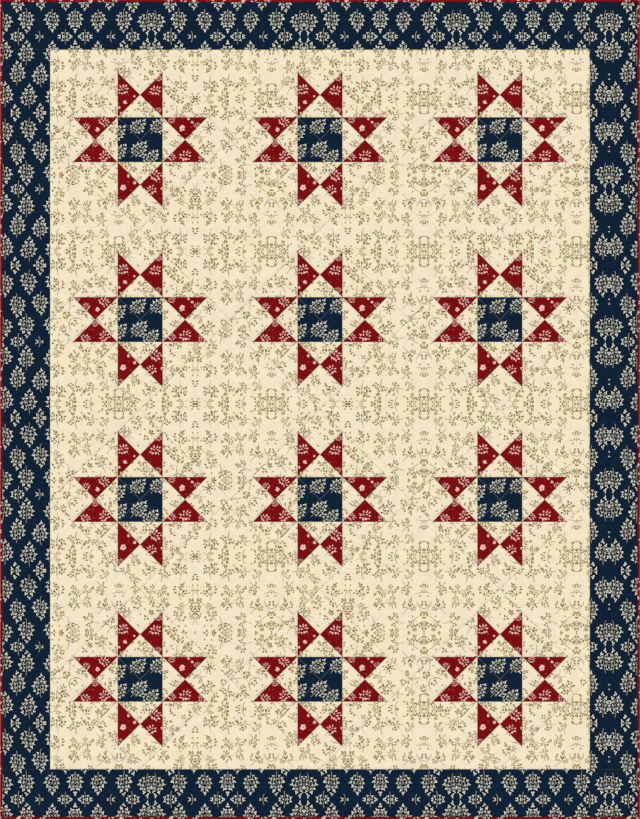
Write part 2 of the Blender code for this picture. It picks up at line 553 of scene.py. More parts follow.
class Cotton(Finish):
    """A woven cotton: its weave, its seam shading, and a print that a subclass draws over its ground."""

    name = "plain_cotton"
    roughness = 0.92
    ground: Colour = tone(246, 232, 201)
    tile: float = 0.1828
    thread: float = 0.00045
    slub_size: float = 1400.0
    slub_stretch: float = 0.12
    crossing_shade: float = 0.02
    slub_shade: float = 0.16
    broad_size: float = 40.0
    broad_shade: float = 0.16
    crossing_relief: float = 0.35
    slub_relief: float = 0.5
    crease_size: float = 130.0
    crease_relief: float = 1.2
    bump_strength: float = 0.35
    bump_depth: float = 0.00012
    specular: float = 0.05
    sheen: float = 0.08
    sheen_roughness: float = 0.5
    # Painted shade along the seams: close to each seam the colour is blended towards a darker seam tone,
    # standing in for the shade in the sewn ditch. The star centres use a lighter tone instead, for worn
    # seam ridges.
    seam_shade_and_wear_tone: Colour = tone(150, 138, 112)
    seam_shade_and_wear_strength: float = 0.04
    seam_shade_and_wear_reach: float = 0.0016

    def draw_print(self, place: Socket) -> object:
        """Draw the print and return its colour: a plain cotton has none."""
        return self.ground

    def folded(self, place: Socket) -> Socket:
        """Return the place on the print's tile, which is mirrored at each of its edges."""
        x, y, _ = self.parts(place)
        return self.joined(self.math("PINGPONG", x, self.tile), self.math("PINGPONG", y, self.tile))

    def nearest(self, place: Socket, chart: tuple[Motif, ...]) -> tuple[Socket, Socket]:
        """Find the motif of a chart that a place belongs to.

        Args:
            place: The place on the cloth.
            chart: The motifs.

        Returns:
            The place from the motif's middle, turned and sized its way, and the motif's random vector.
        """
        nearest, local, number = SprigGroup.FAR, (0.0, 0.0, 0.0), 0.0
        for order, motif in enumerate(chart):
            middle = (motif.x / MILLIMETRES, motif.y / MILLIMETRES)
            here = self.placed(place, middle, motif.turn, (motif.size, motif.size))
            length = self.length(here)
            nearer = self.math("LESS_THAN", length, nearest)
            nearest = self.math("MINIMUM", length, nearest)
            choice = self.put("ShaderNodeMix", {"Factor": nearer, 4: local, 5: here}, data_type="VECTOR")
            local = choice.outputs[1]
            kept = self.times(self.less(1.0, nearer), number)
            number = self.math("MAXIMUM", self.times(nearer, order + 1.0), kept)
        dice = self.put("ShaderNodeTexWhiteNoise", {"W": number}, noise_dimensions="1D").outputs["Color"]
        return local, dice

    def drawn(self, chart: Sprig, local: tuple[Socket, Socket], cloth: Socket) -> object:
        """Draw a sprig.

        Args:
            chart: The sprig's chart.
            local: The place from the sprig's middle, and the sprig's random vector.
            cloth: The place on the cloth.

        Returns:
            The sprig's masks by name.
        """
        tree = bpy.data.node_groups.get(chart.name) or SprigGroup(chart).tree
        feeds = {"Place": local[0], "Dice": local[1], "Cloth": cloth}
        return self.put("ShaderNodeGroup", feeds, node_tree=tree).outputs

    def weave(self, place: Socket) -> tuple[Socket, Socket]:
        """Draw the weave.

        Args:
            place: The place on the cloth.

        Returns:
            The crossing of the threads, and their uneven thickness.
        """
        x, y, _ = self.parts(place)
        over = [self.math("SINE", self.times(part, math.pi / self.thread)) for part in (x, y)]
        along_x = self.joined(self.times(x, self.slub_stretch), y)
        along_y = self.joined(x, self.times(y, self.slub_stretch))
        slubs = [self.mottle(direction, self.slub_size) for direction in (along_x, along_y)]
        return self.times(*over), self.total(*slubs)

    def look(self) -> Feeds:
        """Draw the print, the weave and the seam band, which is painted shade on most cottons and lighter
        wear on the star centres.

        Returns:
            What feeds the shader's inputs.
        """
        place = self.put("ShaderNodeUVMap", uv_map=CLOTH_MAP).outputs[0]
        colour = self.draw_print(place)
        crossing, slubs = self.weave(place)
        broad = self.less(self.mottle(place, self.broad_size, 4.0), 0.5)
        light = self.total(
            1.0, self.times(crossing, self.crossing_shade),
            self.times(self.less(slubs, 1.0), self.slub_shade), self.times(broad, self.broad_shade),
        )
        # Painted shade along the seams: close to each seam the colour is blended towards the seam tone, a
        # darker one on most cottons and a lighter one for worn ridges on the star centres.
        from_seam = self.put("ShaderNodeAttribute", attribute_name=SEAM_ATTRIBUTE).outputs["Fac"]
        near = self.times(self.fade(from_seam, self.seam_shade_and_wear_reach, 0.0), self.seam_shade_and_wear_strength)
        crease = self.mottle(place, self.crease_size, 3.0)
        relief = self.total(
            self.times(crossing, self.crossing_relief), self.times(slubs, self.slub_relief),
            self.times(crease, self.crease_relief),
        )
        feeds = {"Strength": self.bump_strength, "Distance": self.bump_depth, "Height": relief}
        bump = self.put("ShaderNodeBump", feeds)
        return {
            "Base Color": self.scaled(self.blend(near, colour, self.seam_shade_and_wear_tone), light),
            "Specular IOR Level": self.specular,
            "Sheen Weight": self.sheen,
            "Sheen Roughness": self.sheen_roughness,
            "Normal": bump.outputs["Normal"],
        }


class TossedPrint(Cotton):
    """A cotton with sprigs tossed in all directions, one to a cell."""

    cell: float = 0.0385
    scatter: float = 0.65
    shift: float = 0.0
    shift_slope: float = 1.7
    loose_scatter: float = 0.9
    loose_slimness: float = 0.6
    loose_edge: Place = (1.1, 0.8)
    loose_share: float = 0.5

    def in_cell(self, place: Socket, spacing: float, scatter: float) -> tuple[Socket, Socket]:
        """Find the cell that a place belongs to.

        Args:
            place: The place on the cloth.
            spacing: How far apart the cells are.
            scatter: How unevenly they lie, up to 1.

        Returns:
            The place from the cell's middle, turned the cell's own way, and the cell's random vector.
        """
        feeds = {"Vector": place, "Scale": 1.0 / spacing, "Randomness": scatter}
        cells = self.put("ShaderNodeTexVoronoi", feeds, voronoi_dimensions="2D", feature="F1").outputs
        angle = self.times(self.parts(cells["Color"])[0], 2.0 * math.pi)
        feeds = {"Vector": self.vector("SUBTRACT", place, cells["Position"]), "Angle": angle}
        return self.put("ShaderNodeVectorRotate", feeds, rotation_type="Z_AXIS").outputs[0], cells["Color"]

    def tossed(self, tile: Socket) -> tuple[Socket, Socket]:
        """Find the sprig that a place belongs to: the place from its middle, and its random vector."""
        moved = self.vector("ADD", tile, (self.shift, self.shift * self.shift_slope, 0.0))
        return self.in_cell(moved, self.cell, self.scatter)

    def loose(self, tile: Socket, spacing: float, size: float) -> Socket:
        """Scatter loose leaves or dots between the sprigs.

        Args:
            tile: The place on the print's tile.
            spacing: How far apart the places for them are.
            size: Their half length.

        Returns:
            The mask of the leaves or dots.
        """
        turned, dice = self.in_cell(tile, spacing, self.loose_scatter)
        length = self.length(self.vector("DIVIDE", turned, (size, self.loose_slimness * size, 1.0)))
        there = self.math("GREATER_THAN", self.parts(dice)[1], self.loose_share)
        return self.times(self.fade(length, *self.loose_edge), there)


class CreamPrint(TossedPrint):
    """Cream cotton with small tossed sprigs in tans and olives."""

    name = "cream_sprigged_cotton"
    ground = tone(250, 235, 203)
    cell = 0.0372
    scatter = 0.52
    shift = 2.17
    leaf_spacing: float = 0.025
    leaf_size: float = 0.003
    leaf_strength: float = 0.7
    stem_strength: float = 0.8
    spot_size: float = 260.0
    spot_edge: Place = (0.42, 0.58)
    leaf_gold = tone(226, 192, 78)
    leaf_olive = tone(110, 88, 0)
    leaf_edge = tone(88, 70, 0)
    stem_tan = tone(118, 94, 20)
    sprig = Sprig(
        name="tossed_sprig",
        petals=charted(Petal, [
            (0.0, 21.0, 90.0, 3.6, 2.1), (3.8, 16.6, 48.0, 3.4, 1.9),
            (3.8, 8.8, 50.0, 3.3, 1.9), (15.0, 9.4, 62.0, 3.5, 2.0),
            (15.2, 2.0, 12.0, 3.3, 1.9), (9.2, 5.4, 84.0, 3.3, 1.9),
            (10.6, -3.8, 2.0, 3.2, 1.8), (5.0, -1.0, 80.0, 3.0, 1.7),
        ]),
        lobes=0.0, lobe_count=0.0, bare=0.2, reach=15.0, height=18.0, middle=4.0,
        branch_step=60.0, slope=1.05, stem_width=0.95, stem_low=-24.0, stem_high=18.0,
        bend=16.0, other_side_drop=3.6, wobble=7.0, wobble_size=0.018,
        size_range=(0.7, 1.1), heart=0.78, foot=-9.0,
    )

    def draw_print(self, place: Socket) -> Socket:
        """Draw the sprigs and loose leaves over the ground.

        Args:
            place: The place on the cloth.

        Returns:
            The colour.
        """
        tile = self.folded(place)
        sprig = self.drawn(self.sprig, self.tossed(tile), tile)
        spots = self.fade(self.mottle(tile, self.spot_size), *self.spot_edge)
        leaf = self.blend(spots, self.leaf_gold, self.leaf_olive)
        leaf = self.blend(sprig["Heart"], self.leaf_edge, leaf)
        colour = self.blend(self.times(sprig["Stem"], self.stem_strength), self.ground, self.stem_tan)
        loose = self.loose(tile, self.leaf_spacing, self.leaf_size)
        colour = self.blend(self.times(loose, self.leaf_strength), colour, leaf)
        return self.blend(sprig["Petal"], colour, leaf)


class RedPrint(TossedPrint):
    """Deep red cotton with small pale sprigs and pin dots."""

    name = "red_sprigged_cotton"
    ground = tone(126, 9, 14)
    cell = 0.0345
    scatter = 0.6
    shift = 1.27
    sheen = 0.03
    # Painted shade along the seams: a darker red.
    seam_shade_and_wear_tone = tone(70, 8, 12)
    seam_shade_and_wear_strength = 0.15
    dot_spacing: float = 0.019
    dot_size: float = 0.0019
    dot_strength: float = 0.8
    stem_strength: float = 0.5
    heart_strength: float = 0.5
    petal_pale = tone(252, 228, 214)
    petal_pink = tone(206, 104, 94)
    sprig = Sprig(
        name="pale_sprig",
        petals=charted(Petal, [
            (0.0, 8.4, 90.0, 3.7, 3.7), (6.6, -1.0, 12.0, 3.7, 3.7),
            (9.8, 8.6, 40.0, 2.6, 1.6), (4.6, -10.8, -60.0, 2.4, 1.5),
        ]),
        lobes=0.36, lobe_count=5.0, bare=0.5, reach=8.0, height=9.0, middle=2.0,
        branch_step=8.0, slope=0.75, stem_width=0.4, stem_low=-12.0, stem_high=7.0,
        bend=5.0, other_side_drop=2.4, wobble=4.0, wobble_size=0.011, size_range=(0.85, 1.1),
    )

    def pinked(self, colour: object, *masks: tuple[Socket, float]) -> Socket:
        """Lay the pink over a colour.

        Args:
            colour: The colour under it.
            masks: Where the pink lies and its strength there, one mask over the other.

        Returns:
            The colour with the pink.
        """
        for mask, strength in masks:
            colour = self.blend(self.times(mask, strength), colour, self.petal_pink)
        return colour

    def draw_print(self, place: Socket) -> Socket:
        """Draw the sprigs and pin dots over the ground.

        Args:
            place: The place on the cloth.

        Returns:
            The colour.
        """
        tile = self.folded(place)
        sprig = self.drawn(self.sprig, self.tossed(tile), tile)
        dots = self.loose(tile, self.dot_spacing, self.dot_size)
        under = self.pinked(self.ground, (dots, self.dot_strength), (sprig["Stem"], self.stem_strength))
        petal = self.pinked(self.petal_pale, (sprig["Heart"], self.heart_strength))
        return self.blend(sprig["Petal"], under, petal)


class StarPointPrint(RedPrint):
    """The deep red cotton as it was cut for the star points, alike in each block."""

    name = "red_point_cotton"
    dot_strength = 0.6
    stem_strength = 0.6
    heart_strength = 0.25
    flower_heart_strength: float = 0.7
    petal_pale = tone(255, 212, 202)
    sprig = Sprig(
        name="pale_posy",
        petals=charted(Petal, [
            (0.0, 9.6, 90.0, 2.8, 1.65), (6.4, 8.8, 58.0, 2.6, 1.55),
            (9.6, 1.6, 15.0, 2.6, 1.55), (3.6, 2.6, 60.0, 2.2, 1.35),
            (3.0, -6.6, 30.0, 2.7, 2.1), (8.8, -5.4, -30.0, 2.1, 1.4),
        ]),
        lobes=0.22, lobe_count=3.0, bare=0.0, reach=8.0, height=9.0, middle=2.0,
        branch_step=40.0, slope=0.9, stem_width=0.5, stem_low=-9.0, stem_high=8.0,
        bend=5.0, other_side_drop=2.2, wobble=4.0, wobble_size=0.011,
        size_range=(0.95, 1.05), foot=-6.0,
    )
    flower = Sprig(
        name="pale_flower",
        petals=charted(Petal, [(0.0, 0.0, 18.0, 4.1, 4.1)]),
        lobes=0.13, lobe_count=6.0, bare=0.0, reach=8.0, height=9.0, middle=0.0,
        branch_step=40.0, slope=0.9, stem_width=0.5, stem_low=0.0, stem_high=0.0,
        bend=0.0, other_side_drop=0.0, wobble=4.0, wobble_size=0.006,
        size_range=(0.95, 1.05), heart=0.6,
    )
    posies = charted(Motif, [
        (-40.0, 120.0, 0.0, 1.05), (37.0, 118.0, -22.0, 1.0), (-86.0, 42.0, -60.0, 0.95),
        (-129.0, 31.0, 45.0, 0.8), (-86.0, -40.0, 20.0, 1.05), (-131.0, -45.0, -65.0, 0.95),
        (108.0, -38.0, -15.0, 1.15), (37.0, -86.0, -50.0, 1.1), (27.0, -121.0, 12.0, 1.05),
        (76.0, 47.0, -30.0, 0.65), (75.0, -41.0, -60.0, 0.85), (148.0, -48.0, 70.0, 0.85),
        (45.0, 147.0, -35.0, 0.65), (-107.0, -10.0, 0.0, 0.6), (-151.0, 50.0, 40.0, 0.65),
        (138.0, 33.0, -50.0, 0.65), (-47.0, -149.0, -45.0, 0.6), (43.0, 71.0, -45.0, 0.6),
    ])
    flowers = charted(Motif, [
        (-36.0, 90.0, 0.0, 1.0), (-102.0, 24.0, 20.0, 1.05), (101.0, 27.0, 10.0, 1.55),
        (-40.0, -115.0, 40.0, 1.55), (-28.0, -87.0, 0.0, 0.8), (-13.0, -103.0, 30.0, 0.85),
        (116.0, 50.0, 0.0, 0.7), (125.0, 42.0, 15.0, 0.75), (-14.0, 104.0, 0.0, 0.7),
        (-50.0, 77.0, 0.0, 0.7), (-46.0, 64.0, 0.0, 0.6), (52.0, -117.0, 0.0, 0.8),
    ])

    def draw_print(self, place: Socket) -> Socket:
        """Draw the charted posies and flowers over the ground.

        Args:
            place: The place on the cloth.

        Returns:
            The colour.
        """
        posy = self.drawn(self.sprig, self.nearest(place, self.posies), place)
        flower = self.drawn(self.flower, self.nearest(place, self.flowers), place)
        dots = self.loose(place, self.dot_spacing, self.dot_size)
        under = self.pinked(self.ground, (dots, self.dot_strength), (posy["Stem"], self.stem_strength))
        posy_heart = self.times(posy["Heart"], self.heart_strength)
        flower_heart = self.times(flower["Heart"], self.flower_heart_strength)
        heart = self.math("MAXIMUM", posy_heart, flower_heart)
        petal = self.blend(heart, self.petal_pale, self.petal_pink)
        return self.blend(self.math("MAXIMUM", posy["Petal"], flower["Petal"]), under, petal)


class NavyPrint(Cotton):
    """Navy cotton with upright bouquets in a half-drop repeat."""

    name = "navy_bouquet_cotton"
    ground = tone(11, 33, 55)
    sheen = 0.03
    # Painted shade along the seams: a darker navy.
    seam_shade_and_wear_tone = tone(6, 14, 24)
    seam_shade_and_wear_strength = 0.15
    column: float = 0.0573
    row: float = 0.0504
    first: Place = (0.012, 0.0443)
    stray: float = 0.009
    gap_strength: float = 0.85
    stem_strength: float = 0.75
    dim_size: float = 300.0
    dim_edge: Place = (0.5, 0.65)
    petal_pale = tone(244, 246, 238)
    petal_dim = tone(198, 194, 168)
    petal_taupe = tone(156, 152, 124)
    stem_taupe = tone(194, 190, 164)
    gap_shade = tone(6, 14, 24)
    sprig = Sprig(
        name="upright_bouquet",
        petals=charted(Petal, [
            (0.0, 23.8, 90.0, 3.1, 2.9), (6.6, 15.8, 60.0, 2.9, 2.7),
            (11.4, 7.2, 40.0, 2.9, 2.6), (3.8, 8.4, 70.0, 2.3, 1.6),
            (15.2, -2.0, 15.0, 3.0, 2.7), (6.4, -0.6, 55.0, 2.4, 1.6),
            (12.8, -11.0, -8.0, 2.8, 2.5), (4.8, -9.6, 45.0, 2.2, 1.5),
            (6.2, -17.0, -30.0, 2.3, 1.9),
        ]),
        lobes=0.56, lobe_count=3.0, bare=0.0, reach=19.0, height=25.0, middle=0.5,
        branch_step=10.4, slope=0.85, stem_width=0.75, stem_low=-30.0, stem_high=0.0,
        bend=6.0, other_side_drop=2.0, wobble=6.0, wobble_size=0.015,
        size_range=(0.96, 1.06), heart=0.5,
    )

    def in_bouquet(self, tile: Socket) -> tuple[Socket, Socket]:
        """Find the bouquet that a place belongs to, in a repeat whose rows are shifted by half.

        Args:
            tile: The place on the print's tile.

        Returns:
            The place from the bouquet's middle, and the bouquet's random vector.
        """
        x, y, _ = self.parts(self.vector("SUBTRACT", tile, (*self.first, 0.0)))
        p = self.math("DIVIDE", x, self.column)
        q = self.math("DIVIDE", y, 2.0 * self.row)
        a = self.math("ROUND", self.total(p, q))
        b = self.math("ROUND", self.less(p, q))
        feeds = {"Vector": self.joined(a, b)}
        dice = self.put("ShaderNodeTexWhiteNoise", feeds, noise_dimensions="2D").outputs["Color"]
        middle = (self.times(self.total(a, b), self.column / 2.0), self.times(self.less(a, b), self.row))
        local = []
        for part, centre, luck in zip((x, y), middle, self.parts(dice)):
            strayed = self.times(self.less(luck, 0.5), self.stray)
            local.append(self.less(self.less(part, centre), strayed))
        return self.joined(*local), dice

    def draw_print(self, place: Socket) -> Socket:
        """Draw the bouquets over the ground.

        Args:
            place: The place on the cloth.

        Returns:
            The colour.
        """
        tile = self.folded(place)
        sprig = self.drawn(self.sprig, self.in_bouquet(tile), tile)
        colour = self.blend(self.times(sprig["Inside"], self.gap_strength), self.ground, self.gap_shade)
        colour = self.blend(self.times(sprig["Stem"], self.stem_strength), colour, self.stem_taupe)
        dim = self.fade(self.mottle(tile, self.dim_size, 0.0), *self.dim_edge)
        petal = self.blend(dim, self.petal_pale, self.petal_dim)
        petal = self.blend(sprig["Heart"], petal, self.petal_taupe)
        return self.blend(sprig["Petal"], colour, petal)


class StarCentrePrint(NavyPrint):
    """The navy cotton as it was cut for the star centres, alike in each block."""

    name = "navy_centre_cotton"
    seam_shade_and_wear_tone = tone(128, 134, 136)
    seam_shade_and_wear_strength = 0.16
    chart = charted(Motif, [
        (-4.5, 32.5, -45.0, 0.9), (45.0, 33.5, -45.0, 0.9), (-1.5, -22.5, -45.0, 0.9),
        (26.2, -42.7, -45.0, 0.9), (-53.0, 17.5, -45.0, 0.9), (-50.0, -27.5, -45.0, 0.9),
    ])

    def in_bouquet(self, tile: Socket) -> tuple[Socket, Socket]:
        """Find the nearest bouquet of the chart: they all point to the upper right."""
        return self.nearest(tile, self.chart)

    def folded(self, place: Socket) -> Socket:
        """Return the place as it is: the chart covers the whole centre."""
        return place


class BackingCotton(Cotton):
    """The plain cotton of the underside."""

    name = "backing_cotton"
    ground = tone(240, 229, 205)


class ShapeTree(Graph):
    """A Geometry Nodes tree with named inputs, and the way to turn its result into a plain mesh piece."""

    NAME: str = "shape"
    SIZES: type = Relief
    FINISHES: tuple[str, ...] = ()

    def __init__(self) -> None:
        """Build the tree and keep its inputs' identifiers."""
        super().__init__(bpy.data.node_groups.new(self.NAME, "GeometryNodeTree"))
        kinds = {size.name: "NodeSocketFloat" for size in fields(self.SIZES)}
        kinds |= {name: "NodeSocketMaterial" for name in self.FINISHES}
        sockets = self.tree.interface
        sockets.new_socket("base", in_out="INPUT", socket_type="NodeSocketGeometry")
        self.identifiers: dict[str, str] = {}
        for name, kind in kinds.items():
            self.identifiers[name] = sockets.new_socket(name, in_out="INPUT", socket_type=kind).identifier
        sockets.new_socket("shape", in_out="OUTPUT", socket_type="NodeSocketGeometry")
        self.put("NodeGroupOutput", {"shape": self.lay(self.put("NodeGroupInput").outputs)})

    def lay(self, given: object) -> Socket:
        """Add the nodes and return the finished geometry: a plain tree passes its base on."""
        return given["base"]

    def piece(
        self, name: str, base: bpy.types.Mesh, sizes: object, finishes: dict[str, bpy.types.Material]
    ) -> bpy.types.Object:
        """Run the tree on a base mesh and keep the result as a plain mesh piece.

        Args:
            name: The piece's name.
            base: The mesh that the tree works on.
            sizes: The tree's sizes.
            finishes: Its materials by input name.

        Returns:
            The piece, with no modifier.
        """
        guide = bpy.data.objects.new(f"{name}_base", base)
        bpy.context.collection.objects.link(guide)
        modifier = guide.modifiers.new(self.NAME, "NODES")
        modifier.node_group = self.tree
        for input_name, value in (asdict(sizes) | finishes).items():
            modifier[self.identifiers[input_name]] = value
        mesh = bpy.data.meshes.new_from_object(guide.evaluated_get(bpy.context.evaluated_depsgraph_get()))
        mesh.name = name
        guide.modifiers.remove(modifier)
        bpy.data.objects.remove(guide, do_unlink=True)
        return stand(mesh)


def stand(mesh: bpy.types.Mesh) -> bpy.types.Object:
    """Stand a finished smooth mesh in the scene.

    Args:
        mesh: The mesh.

    Returns:
        Its object, of the same name.
    """
    mesh.shade_smooth()
    made = bpy.data.objects.new(mesh.name, mesh)
    bpy.context.collection.objects.link(made)
    return made


def cloth_mesh(
    name: str, points: list[tuple[float, float, float]], faces: list[tuple[int, ...]],
    places: list[Place], from_seam: list[float],
) -> bpy.types.Mesh:
    """Make a mesh that knows how it was cut from its cloth.

    Args:
        name: The mesh's name.
        points: Its points.
        faces: Its faces.
        places: The place on the cloth of each corner of each face.
        from_seam: How far each point is from the nearest seam.

    Returns:
        The mesh.
    """
    mesh = bpy.data.meshes.new(name)
    mesh.from_pydata(points, [], faces)
    cloth_map = mesh.uv_layers.new(name=CLOTH_MAP)
    cloth_map.data.foreach_set("uv", [part for place in places for part in place])
    mesh.attributes.new(SEAM_ATTRIBUTE, "FLOAT", "POINT").data.foreach_set("value", from_seam)
    return mesh


class PaddingTree(ShapeTree):
    """Lifts the top of a flat pieced mesh into padded patches, and dresses each face in its cotton."""

    NAME = "padding"
    FINISHES = tuple(cloth.name for cloth in Cloth)
    HUMP = 4.0  # Brings share times left to 1 at its highest.

    def lay(self, given: object) -> Socket:
        """Add the nodes that lift the top and dress each face.

        Args:
            given: The tree's inputs.

        Returns:
            The finished geometry.
        """
        x, y, z = self.parts(self.put("GeometryNodeInputPosition").outputs[0])
        from_seam = self.named(SEAM_ATTRIBUTE, "FLOAT")
        share = self.math("MINIMUM", self.math("DIVIDE", from_seam, given["reach"]), 1.0)
        left = self.less(1.0, share)
        swell = self.less(1.0, self.times(left, left, left))
        rise = self.times(self.less(given["crest"], given["seam"]), swell)
        broad = self.times(self.ripple(x, y, given["wave"]), given["unevenness"], swell)
        near = self.times(self.ripple(x, y, given["pucker_wave"]), given["pucker"], share, left, self.HUMP)
        lifted = self.put("GeometryNodeSetPosition", {
            "Geometry": given["base"],
            "Selection": self.math("GREATER_THAN", z, 0.0),
            "Position": self.joined(x, y, self.total(given["seam"], rise, broad, near)),
        })
        shape = self.put("GeometryNodeRealizeInstances", {0: lifted.outputs[0]}).outputs[0]
        cut_from = self.named(CLOTH_ATTRIBUTE, "INT")
        for cloth in Cloth:
            feeds = {2: cut_from, 3: cloth.value}
            chosen = self.put("FunctionNodeCompare", feeds, data_type="INT", operation="EQUAL").outputs[0]
            feeds = {"Geometry": shape, "Selection": chosen, "Material": given[cloth.name]}
            shape = self.put("GeometryNodeSetMaterial", feeds).outputs[0]
        return shape

    def named(self, name: str, kind: str) -> Socket:
        """Read one of the base mesh's attributes."""
        read = self.put("GeometryNodeInputNamedAttribute", {"Name": name}, data_type=kind)
        return read.outputs["Attribute"]

    def ripple(self, x: object, y: object, wave: object) -> Socket:
        """Make a smooth uneven value about zero, which changes over a wave's length."""
        return self.less(self.mottle(self.joined(x, y), self.math("DIVIDE", 1.0, wave), 0.0), 0.5)


class PaddedPiece:
    """One closed piece of the quilt: padded patches on top, upright edges and a flat underside."""

    RINGS = (0.0, 0.0004, 0.001, 0.002, 0.0035, 0.006, 0.0095, 0.015)
    RING_STEP = 0.012
    DEEPEST_RING = 0.9
    DEEPEST_STEP = 0.97
    GRADED_SHARE = 0.45
    SIDE_STEP = 0.0097
    UNDERSIDE_FROM_SEAM = 0.02
    SHARP_ANGLE = math.radians(50.0)
    BACK = Patch((), Cloth.BACKING, ClothPlacing())

    def __init__(self, name: str, relief: Relief) -> None:
        """Start an empty piece.

        Args:
            name: The piece's name.
            relief: How its top swells.
        """
        self.name = name
        self.relief = relief
        self.points: list[tuple[float, float, float]] = []
        self.from_seam: list[float] = []
        self.faces: list[tuple[int, ...]] = []
        self.cuts: list[Patch] = []
        self.shared: dict[tuple[int, int], int] = {}
        self.rim_edges: set[tuple[int, int]] = set()

    def point(self, x: float, y: float, from_seam: float) -> int:
        """Add a point of the top, or find the one that is already on the same seam place.

        Args:
            x: Across the quilt.
            y: Up the quilt.
            from_seam: How far it is from the nearest seam.

        Returns:
            The point's index.
        """
        key = (round(x / SAME_POINT), round(y / SAME_POINT))
        if from_seam == 0.0 and key in self.shared:
            return self.shared[key]
        self.points.append((x, y, self.relief.seam))
        self.from_seam.append(from_seam)
        if from_seam == 0.0:
            self.shared[key] = len(self.points) - 1
        return len(self.points) - 1

    def face(self, corners: tuple[int, ...], patch: Patch) -> None:
        """Add a face, by its points anticlockwise and the patch that it is cut from."""
        self.faces.append(corners)
        self.cuts.append(patch)

    def ring_distances(self, outline: Outline) -> list[float]:
        """Choose how far in each ring of a patch lies, as far as its middle allows.

        Args:
            outline: The patch's outline.

        Returns:
            The distances, outermost first.
        """
        depth = 2.0 * outline_area(outline) / sum(math.dist(*side) for side in sides(outline))
        found = [ring for ring in self.RINGS if ring < self.DEEPEST_RING * depth]
        while found[-1] + self.RING_STEP < self.DEEPEST_STEP * depth:
            found.append(found[-1] + self.RING_STEP)
        return found

    def ring_points(self, outline: Outline, steps: list[int], distance: float) -> list[int]:
        """Add the points of one ring of a patch.

        Args:
            outline: The patch's outline.
            steps: How many steps each side has.
            distance: How far in the ring lies.

        Returns:
            The points' indexes, in order.
        """
        found = []
        for ((x0, y0), (x1, y1)), count in zip(sides(inset(outline, distance)), steps):
            for share in (step / count for step in range(count)):
                found.append(self.point(x0 + (x1 - x0) * share, y0 + (y1 - y0) * share, distance))
        return found

    def add_patch(self, patch: Patch) -> None:
        """Add a square or triangular patch, in rings from its seams to its middle.

        Args:
            patch: The patch.
        """
        steps = [max(2, round(math.dist(*side) / self.SIDE_STEP)) for side in sides(patch.outline)]
        ring: list[int] = []
        for distance in self.ring_distances(patch.outline):
            inner = self.ring_points(patch.outline, steps, distance)
            if ring:
                for (a, b), (c, d) in zip(sides(ring), sides(inner)):
                    self.face((a, b, d, c), patch)
            else:
                self.rim_edges.update(sides(inner))
            ring = inner
        self.face(tuple(ring), patch)

    def graded(self, low: float, high: float) -> list[float]:
        """Choose places along a strip's side, close together near its two ends.

        Args:
            low: One end.
            high: The other end.

        Returns:
            The places in order.
        """
        length = high - low
        ends = [ring for ring in self.RINGS if ring < self.GRADED_SHARE * length]
        inner = length - 2.0 * ends[-1]
        count = max(1, round(inner / self.RING_STEP))
        middle = [ends[-1] + inner * step / count for step in range(1, count)]
        return [low + mark for mark in ends + middle + [length - ring for ring in reversed(ends)]]

    def add_strip(self, patch: Patch) -> None:
        """Add a long straight patch as a grid that is finer near its seams.

        Args:
            patch: The patch.
        """
        xs, ys = (sorted(places) for places in zip(*patch.outline))
        columns, rows = self.graded(xs[0], xs[-1]), self.graded(ys[0], ys[-1])
        grid = []
        for row, y in enumerate(rows):
            line = []
            for column, x in enumerate(columns):
                on_rim = row in (0, len(rows) - 1) or column in (0, len(columns) - 1)
                inward = min(x - xs[0], xs[-1] - x, y - ys[0], ys[-1] - y)
                line.append(self.point(x, y, 0.0 if on_rim else inward))
            grid.append(line)
        for low, high in zip(grid, grid[1:]):
            for corners in zip(low, low[1:], high[1:], high):
                self.face(corners, patch)
        rim = grid[0][:-1] + [line[-1] for line in grid[:-1]]
        rim += grid[-1][:0:-1] + [line[0] for line in grid[:0:-1]]
        self.rim_edges.update(sides(rim))

    def close(self) -> None:
        """Add the upright edges and the flat underside."""
        following = {start: end for start, end in self.rim_edges if (end, start) not in self.rim_edges}
        loop = [min(following)]
        while following[loop[-1]] != loop[0]:
            loop.append(following[loop[-1]])
        under = [len(self.points) + place for place in range(len(loop))]
        self.points += [(*self.points[index][:2], 0.0) for index in loop]
        self.from_seam += [self.UNDERSIDE_FROM_SEAM] * len(loop)
        for (a, b), (c, d) in zip(sides(loop), sides(under)):
            self.face((a, c, d, b), self.BACK)
        self.face(tuple(reversed(under)), self.BACK)

    def make(self, padding: PaddingTree, finishes: dict[Cloth, bpy.types.Material]) -> bpy.types.Object:
        """Build the object.

        Args:
            padding: The tree that pads it.
            finishes: The material of each cloth.

        Returns:
            The finished piece.
        """
        self.close()
        places = []
        for corners, patch in zip(self.faces, self.cuts):
            places += [patch.placing.on_cloth(*self.points[index][:2]) for index in corners]
        flat = cloth_mesh(f"{self.name}_flat", self.points, self.faces, places, self.from_seam)
        cut_from = flat.attributes.new(CLOTH_ATTRIBUTE, "INT", "FACE")
        cut_from.data.foreach_set("value", [patch.cloth.value for patch in self.cuts])
        named = {cloth.name: finish for cloth, finish in finishes.items()}
        made = padding.piece(self.name, flat, self.relief, named)
        made.data.set_sharp_from_angle(angle=self.SHARP_ANGLE)
        return made


def settle(piece: bpy.types.Object, node: str) -> None:
    """Put a finished cloth piece in the place of its solid.

    Args:
        piece: The finished piece.
        node: The solid that it stands for.
    """
    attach(piece, ROOT_BODY)
    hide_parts(node)
    LOG.info("%s: %d faces", piece.name, len(piece.data.polygons))


@dataclass
class QuiltPart:
    """What each part of the quilt is made from."""

    plan: QuiltPlan
    relief: Relief
    finishes: dict[Cloth, bpy.types.Material]


